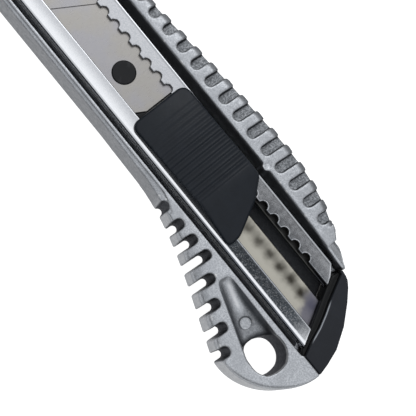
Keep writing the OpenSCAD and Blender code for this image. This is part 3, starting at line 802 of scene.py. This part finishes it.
def bare_steel(name, colour, rough):
    m = Nodes(name)
    scratches = m.noise(0.4, 4, stretch=(0.3, 1, 1))
    darker = tuple(0.8 * c for c in colour)
    m.set(Base_Color=m.mix(m.ramp(scratches, 0.3, 0.7), colour, darker), Metallic=1.0,
          Roughness=m.ramp(scratches, 0.3, 0.7, rough, rough + 0.12))
    m.set(Normal=m.bump(scratches, 0.02, 0.3))
    return m.material


def plastic(name, colour, rough):
    m = Nodes(name)
    painted_light = m.painted_light()
    skin, scuffs = m.noise(0.22, 3), m.noise(3, 4, seed=2)
    # Painted highlight along the edges, broken up by scuffs
    painted_edge_highlight = m.times(m.edges(0.53, 0.62), m.ramp(scuffs, 0.4, 0.6, 0.3, 1))
    colour = m.mix(m.ramp(scuffs, 0.35, 0.7, 0, 0.5), colour, tuple(1.35 * c for c in colour))
    colour = m.mix(m.times(painted_edge_highlight, 0.15), colour, (0.06, 0.063, 0.07))
    # Painted shade where the mesh's value is above 0, painted highlight below 0
    colour = m.mix(m.ramp(painted_light, 0, 1), colour, (0.004, 0.0045, 0.005))
    colour = m.mix(m.ramp(painted_light, 0, -1), colour, (0.3, 0.32, 0.35))
    m.set(Base_Color=colour, Roughness=m.ramp(skin, 0.3, 0.7, rough - 0.05, rough + 0.1),
          Specular_IOR_Level=0.2)
    m.set(Normal=m.bump(skin, 0.03, 0.4))
    return m.material


# ---- Camera, lights and floor

TILT, ROLL = math.radians(14), math.radians(39.2)
VIEW_CENTRE = Vector(((51.0 - TAIL) * MM, 6.3 * MM, LIPS_Z * MM))
VIEW_DISTANCE, VIEW_WIDTH = 0.359, 0.1075


def add_camera():
    """Looks down on the thumb side, tilted towards the cutting edge"""
    along, over = Vector((1, 0, 0)), Vector((0, math.cos(TILT), -math.sin(TILT)))
    towards = Vector((0, math.sin(TILT), math.cos(TILT)))
    right = -math.sin(ROLL) * along - math.cos(ROLL) * over
    up = math.cos(ROLL) * along - math.sin(ROLL) * over
    data = bpy.data.cameras.new("camera")
    camera = bpy.data.objects.new("camera", data)
    bpy.context.scene.collection.objects.link(camera)
    data.angle = 2 * math.atan(VIEW_WIDTH / 2 / VIEW_DISTANCE)
    data.clip_start = 0.01
    turn = Matrix((right, up, towards)).transposed().to_4x4()
    camera.matrix_world = Matrix.Translation(VIEW_CENTRE + towards * VIEW_DISTANCE) @ turn
    bpy.context.scene.camera = camera


def add_light(name, place, size, power):
    """A rectangular panel that faces the origin"""
    data = bpy.data.lights.new(name, "AREA")
    data.shape, data.size, data.size_y, data.energy = "RECTANGLE", size[0], size[1], power
    light = bpy.data.objects.new(name, data)
    bpy.context.scene.collection.objects.link(light)
    light.location = place
    light.rotation_euler = (-Vector(place)).to_track_quat("-Z", "Y").to_euler()


def add_floor():
    bpy.ops.mesh.primitive_plane_add(size=6, location=(0, 0, 0))
    floor = bpy.context.object
    floor.name = "floor"
    m = Nodes("floor_paper")
    paper = m.ramp(m.noise(3, 3), 0.3, 0.7, 0.34, 0.36)
    m.set(Base_Color=m.mix(paper, (0, 0, 0), (1, 1, 1)), Roughness=0.9, Emission_Color=(1, 1, 1),
          Emission_Strength=0.97)
    floor.data.materials.append(m.material)


# Light comes from a wide dome, dark near the horizon and where the camera stands in front of it
CAMERA_SHADE = (-0.045, -0.245, 0.968)
SHADE_REACH = (0.035, 0.125)
DOME_EDGE = (0.2, 0.85)
DOME_GLOW, STUDIO_GLOW = 1.0, 0.1
SKY_COLOUR = (0.97, 0.98, 1, 1)
KEY_PLACE, KEY_SIZE, KEY_POWER = (0.3, -0.45, 0.65), (0.5, 0.4), 1.5


def add_world():
    world = bpy.data.worlds.new("studio")
    world.use_nodes = True
    tree = world.node_tree

    def node(kind, links, **settings):
        node = tree.nodes.new(kind)
        for key, value in settings.items():
            setattr(node, key, value)
        for key, value in links.items():
            if isinstance(value, bpy.types.NodeSocket):
                tree.links.new(value, node.inputs[key])
            else:
                node.inputs[key].default_value = value
        return node

    def step(value, edges):
        return node("ShaderNodeMapRange", {"Value": value, "From Min": edges[0], "From Max": edges[1]},
                    interpolation_type="SMOOTHSTEP").outputs["Result"]
    direction = tree.nodes.new("ShaderNodeTexCoord").outputs["Generated"]
    away = node("ShaderNodeVectorMath", {0: direction, 1: CAMERA_SHADE}, operation="DISTANCE")
    height = node("ShaderNodeSeparateXYZ", {0: direction}).outputs["Z"]
    dome = node("ShaderNodeMath", {0: step(away.outputs["Value"], SHADE_REACH), 1: step(height, DOME_EDGE)},
                operation="MULTIPLY")
    glow = node("ShaderNodeMath", {0: dome.outputs[0], 1: DOME_GLOW, 2: STUDIO_GLOW},
                operation="MULTIPLY_ADD")
    background = tree.nodes["Background"]
    background.inputs["Color"].default_value = SKY_COLOUR
    tree.links.new(glow.outputs[0], background.inputs["Strength"])
    bpy.context.scene.world = world


add_camera()
add_floor()
add_world()
add_light("key_panel", KEY_PLACE, KEY_SIZE, KEY_POWER)
bpy.context.scene.view_settings.view_transform = "Standard"

CAP_COLOUR, SLIDER_COLOUR = (0.011, 0.013, 0.0175), (0.0083, 0.0112, 0.0158)
CARRIER_COLOUR = (0.006, 0.0065, 0.008)
make_piece("handle_casting", casting(), "handle", "body_casting", cast_metal(), casting_painted_light)
make_piece("folded_channel", channel(), "handle", "guide_channel", channel_steel(),
           channel_painted_shade)
make_piece("tail_cap", end_cap(), "cap", "end_cap",
           plastic("cap_plastic", CAP_COLOUR, 0.42), cap_painted_light)
make_piece("ribbed_slider", thumb_slider(), "slider", "thumb_slider",
           plastic("slider_plastic", SLIDER_COLOUR, 0.4))
make_piece("carrier", blade_carrier(), "slider", "blade_carrier",
           plastic("carrier_plastic", CARRIER_COLOUR, 0.45))

# These keep their CAD meshes
for node, material in (("blade", blade_steel()),
                       ("channel_rivets", bare_steel("rivet_steel", (0.6, 0.6, 0.61), 0.3)),
                       ("lock_spring", bare_steel("spring_steel", (0.62, 0.63, 0.65), 0.2))):
    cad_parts[node].data.materials.clear()
    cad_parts[node].data.materials.append(material)
